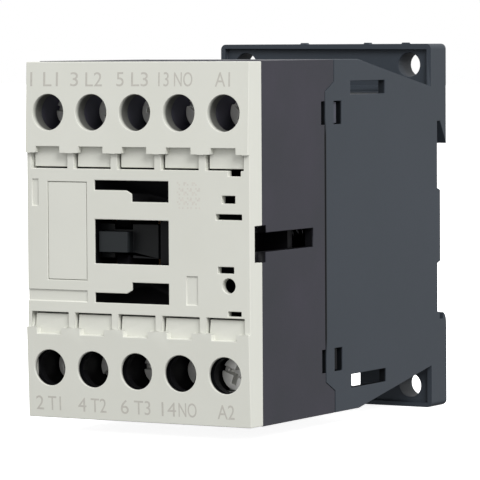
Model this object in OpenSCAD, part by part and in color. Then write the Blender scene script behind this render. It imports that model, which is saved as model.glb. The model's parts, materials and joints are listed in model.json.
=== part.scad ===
// Small three-pole control relay (power relay with one auxiliary contact) for panel or rail mounting.
// X runs to the right, Y from the front to the panel behind, Z up. The origin is the centre of the
// four fixing holes on the panel plane, so the whole device stands in front of Y = 0.

/* [Overall size] */
// Width of the moulded body
body_w = 45; // [44.6:0.2:54]
// Height of the moulded body, without the fixing flanges
body_h = 62.6; // [62:0.2:76]
// Depth from the panel to the crest of the terminal banks
depth = 75; // [74.4:0.2:90]

/* [Terminals] */
// Distance from one terminal column to the next
terminal_pitch = 8.87; // [8.6:0.01:8.9]
// Sideways shift of the terminal row from the middle of the body
terminal_shift = -0.15; // [-0.6:0.05:0.4]
// Distance of the screw axes from the top and bottom of the body
terminal_inset = 8.9; // [8.7:0.1:9.6]
// Diameter of the screwdriver holes in the cover
driver_hole_d = 6.36; // [6.2:0.02:6.4]
// Diameter of the screw heads
screw_head_d = 5.8; // [5.4:0.1:5.8]
// Height of the screw heads
screw_head_h = 2.2; // [1.8:0.1:2.4]
// Outside diameter of the screw thread
screw_d = 3.4; // [3:0.1:3.6]
// Length of the threaded shank
screw_len = 8; // [7:0.2:8.2]
// Depth of a tightened screw head behind the front of the device
head_depth = 7.7; // [7.4:0.1:7.9]
// Travel of a terminal screw from tight to fully open
screw_travel = 3.3; // [2.4:0.1:3.3]

/* [Cover] */
// Depth of the cover's side skirt
cover_d = 4.9; // [4.4:0.1:5.2]
// Thickness of the cover's front wall
cover_t = 1.4; // [1.2:0.1:1.6]
// Thickness of the cover's skirt
skirt_t = 1.0; // [0.8:0.1:1.1]
// Height of the terminal banks over the middle of the cover
bank_rise = 0.6; // [0.4:0.1:0.8]
// Half height of the lower middle area between the banks
bank_z = 15.3; // [15.1:0.1:15.5]

/* [Housings] */
// Thickness of the base's side walls
wall_t = 1.4; // [1.2:0.1:1.6]
// Depth from the front to the split between the two housings
split_d = 27.5; // [27:0.1:28]
// Height of the magnet chamber, outside
chamber_h = 50; // [49:0.5:52]
// Half width of one terminal or contact chamber
chamber_half_w = 3.2; // [3.1:0.05:3.22]

/* [Mounting] */
// Sideways distance between the fixing holes
fix_x = 35; // [34:0.5:36]
// Height between the fixing holes
fix_z = 60; // [59:0.5:61]
// Diameter of the fixing holes
fix_d = 4.5; // [4.2:0.1:5]
// Thickness of the fixing flange
plate_t = 6.2; // [5.8:0.1:6.6]
// How far the flange stands out above and below the body
plate_lip = 2.6; // [2.4:0.1:3]
// Depth of the rail groove
rail_groove = 3.6; // [3.4:0.1:3.8]
// Travel of the rail latch
latch_travel = 3; // [2:0.1:3]

/* [Magnet and contacts] */
// Travel of the armature and the contact carrier
stroke = 5; // [4:0.1:6]
// Part of the stroke that only squeezes the contact springs
overtravel = 1.5; // [1:0.1:1.8]
// Thickness of the core stack
stack_w = 14; // [12:0.1:17]
// Width of the core's middle leg
middle_leg = 11; // [10:0.2:11.4]
// Width of each outer leg, and thickness of the yoke
outer_leg = 5.5; // [5:0.1:5.8]
// Height of the winding window between two legs
window_h = 8.2; // [8:0.1:8.4]
// Length of the fixed core's legs
core_leg = 14.5; // [14:0.1:15]
// Length of the coil former
coil_len = 20.8; // [20:0.1:21.2]
// Thickness of the contact strips
strip_t = 1.2; // [1:0.02:1.46]
// Width of the contact strips
strip_w = 5; // [4.6:0.1:5.2]

/* [Hidden] */

// Overlap that keeps cuts and joined blocks clean
eps = 0.05;
// Gap between faces of one body that only meet
seat_gap = 0.1;
// Gap between faces that slide past each other
slide_gap = 0.3;
// Facets of round holes, pins and screws
round_fn = 48;

// Columns: three poles, the auxiliary contact, and the coil terminals on the right
columns = 5;
poles = 4;
coil_column = 4;
function column_x(i) = (i - 2) * terminal_pitch + terminal_shift;
half_w = body_w / 2;
half_h = body_h / 2;
terminal_z = half_h - terminal_inset;
chamber_z = 14.6;

// Front faces, from the crest of the banks inwards
y_crest = -depth;
y_edge = y_crest + bank_rise + seat_gap / 2;
y_face = y_crest + bank_rise;
y_cover_in = y_face + cover_t;
y_skirt = y_crest + cover_d;
cover_half_h = half_h - seat_gap;
cover_in_x = half_w - skirt_t;
cover_in_z = cover_half_h - skirt_t;
land_t = 0.4;
relief = 1.2;
sleeve_t = 0.45;
sleeve_r = driver_hole_d / 2 + sleeve_t;

// Contact housing
y_house = y_cover_in + seat_gap;
house_wall = 1.4;
y_house_in = y_house + house_wall;
boss_gap = 0.15;
shoulder_wall = 1.5;
window_margin = 0.5;
elbow_margin = 0.7;
elbow_box_side = 2.2;
elbow_box_over = 1.7;
elbow_box_wall = 1;
y_split = y_crest + split_d;
split_step = 3.3;
y_split_edge = y_split + split_step;
split_gap = 0.15;
step_z = half_h - 5.6;
step_edge_z = half_h - 3.9;

// Terminals
y_head = y_crest + head_depth;
y_under_head = y_head + screw_head_h;
clamp_t = 1.0;
y_clamp = y_under_head + seat_gap;
tight_gap = 0.3;
y_pad = y_clamp + clamp_t + tight_gap;
y_pad_back = y_pad + strip_t;
pad_end = 5.2;
chamber_down = 6.3;
chamber_up = 6.1;
mouth_w = 5.8;
mouth_gap = 0.2;
thread_gap = 0.05;
shank_gap = 0.5;
shank_point = 0.8;
slot_w = 0.9;
slot_depth = 0.9;
cross_len = 3.9;
cross_depth = 1.7;
clamp_half_x = chamber_half_w - 0.4;
clamp_half_z = 3.6;
clamp_lip_w = 0.5;
clamp_lip_h = 0.8;
open_shift = -screw_travel;

// Carrier, bridges and springs
y_carrier = y_house_in + slide_gap;
carrier_bar = 1.5;
carrier_bar_half_z = 2;
guide_gap = 0.4;
y_spring_seat = y_carrier + carrier_bar;
contact_spring_len = 5.5;
contact_spring_r = 1.5;
contact_spring_turns = 4;
thin_wire = 0.35;
y_bridge = y_spring_seat + contact_spring_len;
bridge_t = 0.9;
bridge_half_w = 1.7;
bridge_half_l = 8.2;
y_bridge_back = y_bridge + bridge_t;
tip_h = 0.8;
tip_r = 1.4;
tip_z = 6.6;
touch_gap = 0.05;
y_fixed_tip = y_bridge_back + tip_h + stroke - overtravel + touch_gap;
y_foot = y_fixed_tip + tip_h;
y_foot_back = y_foot + strip_t;
foot_end = 4.6;
riser_z = 12.9;
floor_t = 1.55;
y_floor_back = y_foot_back + floor_t;
post_half_w = 2.6;
post_half_z = 3.0;
window_half_w = bridge_half_w + slide_gap;
y_beam = y_foot_back + 0.95;
beam_t = 4;
beam_half_z = 2.8;

// Magnet, from the rail groove forwards
floor_plate = 1.8;
y_chamber = -(rail_groove + floor_plate);
pad_t = 2;
y_core = y_chamber - pad_t;
y_core_yoke = y_core - outer_leg;
y_pole = y_core_yoke - core_leg;
coil_gap = 0.4;
y_coil_back = y_core_yoke - coil_gap;
y_coil_front = y_coil_back - coil_len;
y_arm_pole = y_pole - stroke - touch_gap;
arm_clear = 1.8;
y_arm_yoke = y_coil_front - stroke - arm_clear;
y_arm = y_arm_yoke - outer_leg;
half_stack = stack_w / 2;
half_middle = middle_leg / 2;
core_half_h = half_middle + window_h + outer_leg;
holder_t = 2.8;
y_holder = y_arm - holder_t;
holder_half_z = 12;
cheek_gap = 0.2;
cheek_t = 1.4;
cheek_half_z = 6;
cheek_short = 0.6;
neck_side = 1;
return_spring_r = 2.2;
return_wire = 0.5;
return_turns = 7;
spring_x = half_stack + cheek_gap + cheek_t + 1.2 + return_spring_r;
spring_seat_half_x = return_spring_r + 0.8;
spring_seat_half_z = return_spring_r + 1;
pin_r = 1.2;
ring_w = 1.1;
ring_z = core_half_h - 2.2;
ring_depth = 1.5;

// Coil former
former_wall = 0.9;
former_in_x = half_stack + slide_gap;
former_in_z = half_middle + slide_gap;
flange_t = 1.2;
flange_half_x = former_in_x + former_wall + 7;
flange_half_z = half_middle + window_h - 0.4;
winding_set_back = 0.7;
winding_r = 4;
ear_overlap = 2;
ear_under = 3;
ear_over = 1;

// Windows of the front
win_x0 = -8.6;
win_x1 = 6.4;
win_half_h = 3.85;
elbow_top = 10.65;
elbow_mid = 8.95;
elbow_low = 7.0;
elbow_x = -1.0;
elbow_chamfer = [1.1, 0.6];
elbow_floor = 5.7;
nub_x0 = -8.4;
nub_x1 = -2.6;
nub_low = -1.9;
nub_top = 1.7;
nub_out = 2.1;

// Small slots beside the windows: left, right, bottom, top
vent_slots = [
    [18.25, 20.75, 11.65, 12.6], [17, 19.65, 7, 8.35], [15.8, 20.95, 4.2, 5.2],
    [16.15, 19.35, -4.95, -3.8], [18.1, 20.75, -12.25, -11.4]
];
reset_hole = [18.3, -7.05];
reset_hole_r = 1.3;

// Marker pockets between the banks and the middle of the cover
pocket_half_w = 3.75;
pocket_low = 12.6;
pocket_depth = 0.6;
pocket_slot = 0.45;
pocket_seam = 0.3;
bank_notch_half_w = 2.45;
bank_notch_h = 1.15;

// Label recess and shallow grooves
label_box = [-18.3, -10.2, -6.9, 10.3];
label_t = 0.4;
label_depth = 0.5;
label_gap = 0.12;
groove_depth = 0.25;
grooves = [
    [-half_w - eps, -10.2, -10.65, -8.7], [-21.5, -20.2, 6, 10.7], [9.9, 12.15, -10.55, -5.6]
];

// Side slot for a mechanical interlock, and the cover's catch legs
side_notch_half_h = 3.15;
side_notch_front = 2.35;
side_notch_back = 6.15;
side_notch_in = 1.5;
side_slot_end = 22.95;
side_slot_low = -1.4;
side_slot_top = 1.9;
side_slot_in = 2.4;
leg_z0 = 7;
leg_z1 = 10;
leg_t = 0.9;
leg_len = 4;
leg_gap = 0.15;

// Latches between the two housings
catch_z0 = half_h - 11.45;
catch_z1 = half_h - 7.35;
catch_front = 1.3;
catch_window = 2.8;
catch_arm_t = 1.2;
catch_gap = 0.2;
catch_nose = 1.0;
catch_nose_len = 1.7;

// Base: shoulders, gussets and flange
chamber_wall = 1.8;
chamber_in_z = chamber_h / 2 - chamber_wall;
y_shoulder = y_split_edge + 6.3;
gusset_top = y_shoulder + 2.9;
gusset_foot_z = half_h - 5.3;
gusset_slot_len = 13.2;
gusset_slot_h = 2.4;
plate_half_h = half_h + plate_lip;
plate_corner = 1;
web_recess = 0.9;
rim_t = 0.9;
web_gap = 1;
rib_half_w = 4;
back_hollow_d = 3.2;
back_hollow_x = 1.2;
hook_wall = 2.2;
boss_half_w = 4.5;
plate_border = 2;
pips = [-4.5, 9, 17];
pip_size = [1.2, 1.2, 0.25];

// Rail groove: hook above, latch below
rail_low = -16.2;
rail_top = 15.2;
hook_top = 19.5;
hook_in = 2.4;
pad_half_h = 7.05;
pad_slope = 0.4;
pad_proud = 1.2;
lip_r = 2;
lip_slot = [1.3, 2.7];
lip_slot_h = 1.4;

// Rail latch
latch_half_w = 6.7;
latch_neck = 4.5;
latch_back = 0.4;
latch_front = 3.4;
latch_step = 2.2;
latch_side_gap = 0.2;
latch_top_gap = 0.4;
latch_bevel = 1;
latch_tip = -14.4;
latch_tail = -26.5;
latch_slot_half = 1.6;
latch_slot_top = -17.5;
latch_slot_low = -24.8;
peg_low = -24.6;
peg_top = -23.4;
peg_half_w = 1.3;
peg_back = 0.8;
release_low = latch_tail - latch_travel - 1.7;
release_top = -26.6;
latch_spring_r = 1.1;
latch_spring_turns = 5;

// Colours of the materials
cover_grey = [0.83, 0.83, 0.80];
house_black = [0.27, 0.28, 0.30];
base_black = [0.29, 0.31, 0.34];
zinc = [0.70, 0.71, 0.70];
copper = [0.80, 0.50, 0.32];
silver = [0.86, 0.86, 0.84];
steel = [0.55, 0.56, 0.57];
rubber = [0.2, 0.2, 0.2];
former_cream = [0.86, 0.84, 0.78];
carrier_black = [0.24, 0.25, 0.27];

// A block between two opposite corners
module block(low, high) {
    translate(low)
        cube(high - low);
}

// A round bar along Y that starts at a point
module rod_y(start, r, length) {
    translate(start)
        rotate([-90, 0, 0])
            cylinder(r = r, h = length, $fn = round_fn);
}

// A Y-Z outline drawn out along X, centred on a column or on the body
module along_x(width, x = 0) {
    translate([x - width / 2, 0, 0])
        rotate([90, 0, 90])
            linear_extrude(width)
                children();
}

// An X-Z outline drawn out along Y
module along_y(y0, y1) {
    translate([0, y1, 0])
        rotate([90, 0, 0])
            linear_extrude(y1 - y0)
                children();
}

// Both ends of the device: the upper side as drawn, and its mirror image below
module top_and_bottom() {
    for (side = [0, 1])
        mirror([0, 0, side])
            children();
}

// Both sides of the device
module left_and_right() {
    for (side = [0, 1])
        mirror([side, 0, 0])
            children();
}

// A rectangle with true round corners
module round_rect(half_x, half_z, r) {
    square([2 * half_x - 2 * r, 2 * half_z], center = true);
    square([2 * half_x, 2 * half_z - 2 * r], center = true);
    for (x = [-1, 1], z = [-1, 1])
        translate([x * (half_x - r), z * (half_z - r)])
            circle(r = r, $fn = round_fn);
}

// A coil spring of round wire along Z that starts at Z = 0
module coil_spring(r, wire, length, turns) {
    sides = 6;
    steps = 12;
    rings = turns * steps;
    mid_r = r - wire / 2;
    rise = length - wire;
    points = [
        for (i = [0 : rings], j = [0 : sides - 1])
            let (a = 360 * i / steps, b = 360 * j / sides, radius = mid_r + wire / 2 * cos(b))
                [radius * cos(a), radius * sin(a), wire / 2 + rise * i / rings + wire / 2 * sin(b)]
    ];
    walls = [
        for (i = [0 : rings - 1], j = [0 : sides - 1], half = [0, 1])
            let (k = (j + 1) % sides, p = i * sides, q = (i + 1) * sides)
                half == 0 ? [p + j, p + k, q + k] : [p + j, q + k, q + j]
    ];
    first = [[for (j = [sides - 1 : -1 : 0]) j]];
    last = [[for (j = [0 : sides - 1]) rings * sides + j]];
    polyhedron(points, concat(walls, first, last));
}

// The elbow-shaped window above the middle one
module elbow() {
    polygon([
        [win_x0, elbow_top], [win_x1, elbow_top], [win_x1, elbow_low], [elbow_x, elbow_low],
        [elbow_x, elbow_mid - elbow_chamfer.y], [elbow_x - elbow_chamfer.x, elbow_mid],
        [win_x0, elbow_mid]
    ]);
}

// Outline of the middle window, widened all round
module middle_window(margin) {
    translate([win_x0 - margin, -win_half_h - margin])
        square([win_x1 - win_x0 + 2 * margin, 2 * (win_half_h + margin)]);
}

// Cut for one marker pocket of the upper bank
module marker_pocket(i) {
    x = column_x(i);
    left = x - pocket_half_w;
    right = x + pocket_half_w;
    y_floor = y_face + pocket_depth;
    block([left, y_crest - eps, pocket_low], [right, y_floor, bank_z + eps]);
    block([left, y_crest, pocket_low], [left + pocket_slot, y_cover_in + eps, bank_z]);
    block([left, y_crest, pocket_low], [right, y_cover_in + eps, pocket_low + pocket_seam]);
    block([x - bank_notch_half_w, y_crest - eps, bank_z - eps],
          [x + bank_notch_half_w, y_floor, bank_z + bank_notch_h]);
}

// Windows, slots and screwdriver holes of the cover
module cover_openings() {
    along_y(y_crest, y_cover_in + eps)
        middle_window(0);
    along_y(y_face + land_t, y_cover_in + eps)
        middle_window(relief);
    top_and_bottom() {
        along_y(y_crest, y_cover_in + eps)
            elbow();
        along_y(y_face + land_t, y_cover_in + eps)
            offset(delta = relief)
                elbow();
        for (i = [0 : columns - 1])
            marker_pocket(i);
    }
    for (s = vent_slots)
        block([s[0], y_crest, s[2]], [s[1], y_cover_in + eps, s[3]]);
    rod_y([reset_hole.x, y_crest, reset_hole.y], reset_hole_r, cover_d);
    for (i = [0 : columns - 1], z = [-terminal_z, terminal_z])
        rod_y([column_x(i), y_crest - eps, z], driver_hole_d / 2, cover_d + 2 * eps);
    intersection() {
        block([-cover_in_x, y_crest, -cover_in_z], [cover_in_x, y_skirt, 0]);
        for (i = [0 : columns - 1])
            rod_y([column_x(i), y_face + land_t + seat_gap, -terminal_z],
                  driver_hole_d / 2 + relief / 2, cover_t);
    }
}

// Light grey front cover with the sloping terminal banks
module front_cover() {
    color(cover_grey)
        difference() {
            union() {
                difference() {
                    along_x(body_w)
                        polygon([
                            [y_skirt, cover_half_h], [y_edge, cover_half_h], [y_crest, bank_z],
                            [y_face, bank_z], [y_face, -bank_z], [y_crest, -bank_z],
                            [y_edge, -cover_half_h], [y_skirt, -cover_half_h]
                        ]);
                    block([-cover_in_x, y_cover_in, -cover_in_z], [cover_in_x, y_skirt + eps, cover_in_z]);
                }
                for (i = [0 : columns - 1])
                    rod_y([column_x(i), y_cover_in - eps, terminal_z], sleeve_r, cover_t);
                left_and_right()
                    top_and_bottom()
                        block([cover_in_x - leg_t, y_cover_in - eps, leg_z0],
                              [cover_in_x + eps, y_skirt + leg_len - cover_t, leg_z1]);
            }
            cover_openings();
            for (g = grooves)
                block([g[0], y_crest, g[2]], [g[1], y_face + groove_depth, g[3]]);
            block([label_box[0], y_crest, label_box[2]],
                  [label_box[1], y_face + label_depth, label_box[3]]);
            left_and_right()
                block([cover_in_x - eps, y_crest + side_notch_front, -side_notch_half_h],
                      [half_w + eps, y_skirt + eps, side_notch_half_h]);
        }
}

// Blank marking label in its recess
module marking_label() {
    color(cover_grey)
        block([label_box[0] + label_gap, y_face + label_depth - label_t, label_box[2] + label_gap],
              [label_box[1] - label_gap, y_face + label_depth, label_box[3] - label_gap]);
}

// Chambers for one terminal of the upper row
module terminal_cut(i, front_r) {
    x = column_x(i);
    z_low = terminal_z - chamber_down;
    z_high = terminal_z + chamber_up;
    block([x - chamber_half_w, y_house_in, z_low], [x + chamber_half_w, y_pad_back, z_high]);
    block([x - mouth_w / 2, y_skirt + mouth_gap, z_high - eps], [x + mouth_w / 2, y_pad, half_h + eps]);
    block([x - strip_w / 2 - seat_gap, y_pad - seat_gap, chamber_z - eps],
          [x + strip_w / 2 + seat_gap, y_pad_back, z_low + eps]);
    rod_y([x, y_pad_back - eps, terminal_z], screw_d / 2 + shank_gap,
          y_under_head + screw_len - y_pad_back + slide_gap + eps);
    rod_y([x, y_house - eps, terminal_z], front_r, house_wall + 2 * eps);
}

// Outline of the contact housing, seen from the side
module house_outline() {
    polygon([
        [y_skirt, half_h], [y_split_edge, half_h], [y_split_edge, step_edge_z], [y_split, step_z],
        [y_split, -step_z], [y_split_edge, -step_edge_z], [y_split_edge, -half_h], [y_skirt, -half_h]
    ]);
}

// Hollow inside of the contact housing
module house_hollow() {
    for (i = [0 : columns - 1])
        block([column_x(i) - chamber_half_w, y_house_in, -chamber_z],
              [column_x(i) + chamber_half_w, y_foot_back, chamber_z]);
    for (i = [0 : columns - 1]) {
        terminal_cut(i, sleeve_r + seat_gap);
        mirror([0, 0, 1])
            terminal_cut(i, driver_hole_d / 2);
    }
    block([column_x(0) - post_half_w - slide_gap, y_foot_back - eps, -post_half_z - guide_gap],
          [column_x(poles - 1) + post_half_w + slide_gap, y_split_edge + eps, post_half_z + guide_gap]);
    block([column_x(1), y_house_in, -carrier_bar_half_z - guide_gap],
          [column_x(2), y_spring_seat + stroke + slide_gap, carrier_bar_half_z + guide_gap]);
    block([-half_w + wall_t + catch_gap, y_floor_back, -half_h + shoulder_wall],
          [half_w - wall_t - catch_gap, y_split_edge + eps, half_h - shoulder_wall]);
    top_and_bottom()
        block([column_x(coil_column) - strip_w / 2 - seat_gap, y_foot_back - eps, riser_z - seat_gap],
              [column_x(coil_column) + strip_w / 2 + seat_gap, y_floor_back + eps,
               riser_z + strip_t + seat_gap]);
}

// Dark contact housing with the terminal and contact chambers
module contact_housing() {
    boss_x = cover_in_x - boss_gap;
    boss_z = cover_in_z - boss_gap;
    pocket_back = y_house + elbow_floor;
    color(house_black)
        difference() {
            union() {
                difference() {
                    union() {
                        along_x(body_w)
                            house_outline();
                        block([-boss_x, y_house, -boss_z], [boss_x, y_skirt + eps, boss_z]);
                    }
                    house_hollow();
                }
                top_and_bottom()
                    block([win_x0 - elbow_box_side, y_house_in - eps, elbow_low - elbow_box_over],
                          [win_x1 + elbow_box_side, pocket_back + elbow_box_wall,
                           elbow_top + elbow_box_over]);
                left_and_right()
                    top_and_bottom()
                        catch_arm();
            }
            along_y(y_house - eps, y_house_in + eps)
                middle_window(window_margin);
            top_and_bottom()
                along_y(y_house - eps, pocket_back)
                    offset(delta = elbow_margin)
                        elbow();
            for (s = vent_slots)
                block([s[0] - boss_gap, y_house - eps, s[2] - boss_gap],
                      [s[1] + boss_gap, y_house_in + eps, s[3] + boss_gap]);
            rod_y([reset_hole.x, y_house - eps, reset_hole.y], reset_hole_r + seat_gap,
                  house_wall + 2 * eps);
            left_and_right()
                side_cuts();
        }
}

// Notch, interlock slot, latch openings and leg pockets in one side of the contact housing
module side_cuts() {
    block([half_w - side_notch_in, y_house - eps, -side_notch_half_h],
          [half_w + eps, y_crest + side_notch_back, side_notch_half_h]);
    block([half_w - side_slot_in, y_skirt, side_slot_low],
          [half_w + eps, y_crest + side_slot_end, side_slot_top]);
    top_and_bottom() {
        block([half_w - wall_t, y_split - catch_front, catch_z0], [half_w + eps, y_split + eps, catch_z1]);
        block([cover_in_x - leg_t - leg_gap, y_house - eps, leg_z0 - leg_gap],
              [cover_in_x + seat_gap, y_skirt + leg_len - cover_t + leg_gap, leg_z1 + leg_gap]);
    }
}

// Elastic arm whose nose snaps into the base's window
module catch_arm() {
    x_out = half_w - wall_t - catch_gap;
    y_end = y_split_edge + catch_nose_len + catch_gap;
    block([x_out - catch_arm_t, y_floor_back - eps, catch_z0 + catch_gap],
          [x_out + eps, y_split - eps, catch_z1 - catch_gap]);
    block([x_out - catch_arm_t, y_split - catch_front, catch_z0 + catch_gap],
          [x_out, y_end, catch_z1 - catch_gap]);
    block([x_out - eps, y_split_edge + catch_gap, catch_z0 + catch_gap],
          [x_out + catch_nose, y_end, catch_z1 - catch_gap]);
}

// Outline of the base's side walls with the sloping gussets
module base_outline() {
    y_split_back = y_split + split_gap;
    y_edge_back = y_split_edge + split_gap;
    polygon([
        [y_edge_back, half_h], [y_edge_back, step_edge_z], [y_split_back, step_z],
        [y_split_back, -step_z], [y_edge_back, -step_edge_z], [y_edge_back, -half_h],
        [gusset_top, -half_h], [-plate_t, -gusset_foot_z], [-eps, -gusset_foot_z],
        [-eps, gusset_foot_z], [-plate_t, gusset_foot_z], [gusset_top, half_h]
    ]);
}

// Outline of everything that the mounting rail needs
module rail_outline() {
    difference() {
        polygon([
            [eps, rail_low], [-rail_groove, rail_low], [-rail_groove, hook_top],
            [-hook_in, hook_top], [0, rail_top], [eps, rail_top]
        ]);
        polygon([
            [-rail_groove - eps, -pad_half_h], [-rail_groove + pad_proud, -pad_half_h + pad_slope],
            [-rail_groove + pad_proud, pad_half_h - pad_slope], [-rail_groove - eps, pad_half_h]
        ]);
    }
    translate([-lip_slot[1], rail_low - lip_slot_h])
        square([lip_slot[1] - lip_slot[0], lip_slot_h + eps]);
    difference() {
        translate([-lip_r, rail_low - lip_r])
            square([lip_r + eps, lip_r + eps]);
        translate([-lip_r, rail_low - lip_r])
            circle(r = lip_r, $fn = round_fn);
    }
}

// Cuts for the sliding latch and the window that frees it
module latch_cut() {
    side = latch_side_gap;
    block([-latch_half_w - side, -latch_front - side, release_low],
          [latch_half_w + side, -latch_step + side, rail_low + eps]);
    block([-latch_neck - side, -latch_step, release_low], [latch_neck + side, eps, rail_low + eps]);
    block([-latch_half_w - side, -plate_t - eps, release_low], [latch_half_w + side, eps, release_top]);
}

// Dark base: magnet chamber, shoulders, gussets and fixing flange
module base_housing() {
    in_x = half_w - wall_t;
    color(base_black)
        difference() {
            union() {
                difference() {
                    union() {
                        along_x(body_w)
                            base_outline();
                        along_y(-plate_t, 0)
                            round_rect(half_w, plate_half_h, plate_corner);
                    }
                    block([-in_x, y_split - eps, -chamber_in_z], [in_x, y_chamber, chamber_in_z]);
                    top_and_bottom() {
                        block([-in_x, y_shoulder, chamber_h / 2], [in_x, -plate_t, half_h + eps]);
                        block([-in_x, y_split - eps, chamber_in_z - eps],
                              [in_x, y_shoulder - chamber_wall, half_h - shoulder_wall]);
                    }
                }
                for (x = pips)
                    block([x - pip_size.x / 2, -plate_t, plate_half_h - eps],
                          [x + pip_size.x / 2, -plate_t + pip_size.y, plate_half_h + pip_size.z]);
                top_and_bottom()
                    block([-rib_half_w, y_core_yoke, core_half_h + slide_gap],
                          [rib_half_w, y_chamber + eps, chamber_in_z + eps]);
            }
            base_cuts();
        }
    color(base_black)
        block([-peg_half_w, -latch_front - latch_side_gap - eps, peg_low],
              [peg_half_w, -peg_back, peg_top]);
}

// Holes, slots and recesses of the base
module base_cuts() {
    top_and_bottom() {
        block([-half_w + rim_t, -plate_t - eps, chamber_h / 2 + web_gap],
              [half_w - rim_t, -plate_t + web_recess, plate_half_h - rim_t]);
        left_and_right() {
            block([half_w - wall_t - eps, y_split_edge, catch_z0],
                  [half_w + eps, y_split_edge + catch_window, catch_z1]);
            block([half_w - wall_t - eps, y_shoulder, chamber_h / 2],
                  [half_w + eps, y_shoulder + gusset_slot_len, chamber_h / 2 + gusset_slot_h]);
        }
        for (x = [-fix_x / 2, fix_x / 2])
            rod_y([x, -plate_t - eps, fix_z / 2], fix_d / 2, plate_t + 2 * eps);
    }
    left_and_right()
        block([back_hollow_x, -back_hollow_d, hook_top + hook_wall],
              [fix_x / 2 - boss_half_w, eps, plate_half_h - plate_border]);
    along_x(body_w + 2 * eps)
        rail_outline();
    latch_cut();
}

// Sliding latch that holds the lower edge of the rail
module din_latch() {
    color(house_black)
        difference() {
            union() {
                block([-latch_half_w, -latch_front, latch_tail],
                      [latch_half_w, -latch_step, rail_low - latch_top_gap]);
                along_x(2 * latch_neck)
                    polygon([
                        [-latch_step - eps, latch_tail], [-latch_back, latch_tail],
                        [-latch_back, latch_tip - latch_bevel], [-latch_back - latch_bevel, latch_tip],
                        [-latch_step - eps, latch_tip]
                    ]);
            }
            block([-latch_slot_half, -latch_front - eps, latch_slot_low],
                  [latch_slot_half, eps, latch_slot_top]);
        }
}

// Spring that lifts the rail latch
module din_latch_spring() {
    color(steel)
        translate([0, -(latch_front + latch_back) / 2, peg_top])
            coil_spring(latch_spring_r, thin_wire, latch_slot_top - peg_top, latch_spring_turns);
}

// Rubber pad behind the fixed core
module core_pad() {
    color(rubber)
        block([-half_stack, y_core, -core_half_h], [half_stack, y_chamber, core_half_h]);
}

// E-shaped outline of a core half; the yoke starts at y_back and the legs end at y_tip
module core_outline(y_back, y_inner, y_tip) {
    polygon([
        [y_back, -core_half_h], [y_tip, -core_half_h], [y_tip, -core_half_h + outer_leg],
        [y_inner, -core_half_h + outer_leg], [y_inner, -half_middle], [y_tip, -half_middle],
        [y_tip, half_middle], [y_inner, half_middle], [y_inner, core_half_h - outer_leg],
        [y_tip, core_half_h - outer_leg], [y_tip, core_half_h], [y_back, core_half_h]
    ]);
}

// Fixed laminated core
module fixed_core() {
    color(steel)
        difference() {
            along_x(stack_w)
                core_outline(y_core, y_core_yoke, y_pole);
            top_and_bottom()
                block([-half_stack - eps, y_pole - eps, ring_z - ring_w],
                      [half_stack + eps, y_pole + ring_depth, ring_z]);
        }
}

// Two copper shading rings in the outer pole faces
module shading_rings() {
    color(copper)
        top_and_bottom()
            difference() {
                block([-half_stack - ring_w, y_pole + seat_gap, ring_z - ring_w],
                      [half_stack + ring_w, y_pole + ring_depth, core_half_h + ring_w]);
                block([-half_stack, y_pole, ring_z], [half_stack, y_pole + ring_depth + eps, core_half_h]);
            }
}

// Coil former with two ears that carry the terminal blades
module coil_bobbin() {
    ear_x = column_x(coil_column) + strip_w / 2;
    color(former_cream)
        difference() {
            union() {
                block([-former_in_x - former_wall, y_coil_front, -former_in_z - former_wall],
                      [former_in_x + former_wall, y_coil_back, former_in_z + former_wall]);
                for (y = [y_coil_front, y_coil_back - flange_t])
                    block([-flange_half_x, y, -flange_half_z],
                          [flange_half_x, y + flange_t, flange_half_z]);
                top_and_bottom()
                    block([flange_half_x - ear_overlap, y_coil_front, riser_z - ear_under],
                          [ear_x, y_coil_front + flange_t, riser_z + strip_t + ear_over]);
            }
            block([-former_in_x, y_coil_front - eps, -former_in_z],
                  [former_in_x, y_coil_back + eps, former_in_z]);
        }
}

// Copper winding
module coil_winding() {
    color(copper)
        along_y(y_coil_front + flange_t, y_coil_back - flange_t)
            difference() {
                round_rect(flange_half_x - winding_set_back, flange_half_z - winding_set_back, winding_r);
                square([2 * (former_in_x + former_wall), 2 * (former_in_z + former_wall)], center = true);
            }
}

// Blade from a coil terminal in the upper row to the coil former
module coil_terminal() {
    color(copper)
        difference() {
            along_x(strip_w, column_x(coil_column))
                polygon([
                    [y_pad, terminal_z + pad_end], [y_pad, riser_z], [y_coil_front, riser_z],
                    [y_coil_front, riser_z + strip_t], [y_pad_back, riser_z + strip_t],
                    [y_pad_back, terminal_z + pad_end]
                ]);
            rod_y([column_x(coil_column), y_pad - eps, terminal_z], screw_d / 2 + thread_gap,
                  strip_t + 2 * eps);
        }
}

// Blade of coil terminal A1, above
module coil_terminal_a1() {
    coil_terminal();
}

// Blade of coil terminal A2, below
module coil_terminal_a2() {
    mirror([0, 0, 1])
        coil_terminal();
}

// Moving armature
module armature() {
    color(steel)
        difference() {
            along_x(stack_w)
                core_outline(y_arm, y_arm_yoke, y_arm_pole);
            translate([-half_stack - eps, (y_arm + y_arm_yoke) / 2, 0])
                rotate([0, 90, 0])
                    cylinder(r = pin_r, h = stack_w + 2 * eps, $fn = round_fn);
        }
}

// Pin that holds the armature in the carrier
module armature_pin() {
    reach = half_stack + cheek_gap + cheek_t;
    color(zinc)
        translate([-reach, (y_arm + y_arm_yoke) / 2, 0])
            rotate([0, 90, 0])
                cylinder(r = pin_r, h = 2 * reach, $fn = round_fn);
}

// One return spring on the left of the armature
module return_spring() {
    color(steel)
        translate([-spring_x, y_arm, 0])
            rotate([-90, 0, 0])
                coil_spring(return_spring_r, return_wire, y_coil_front - y_arm, return_turns);
}

// Left return spring
module return_spring_left() {
    return_spring();
}

// Right return spring
module return_spring_right() {
    mirror([1, 0, 0])
        return_spring();
}

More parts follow.
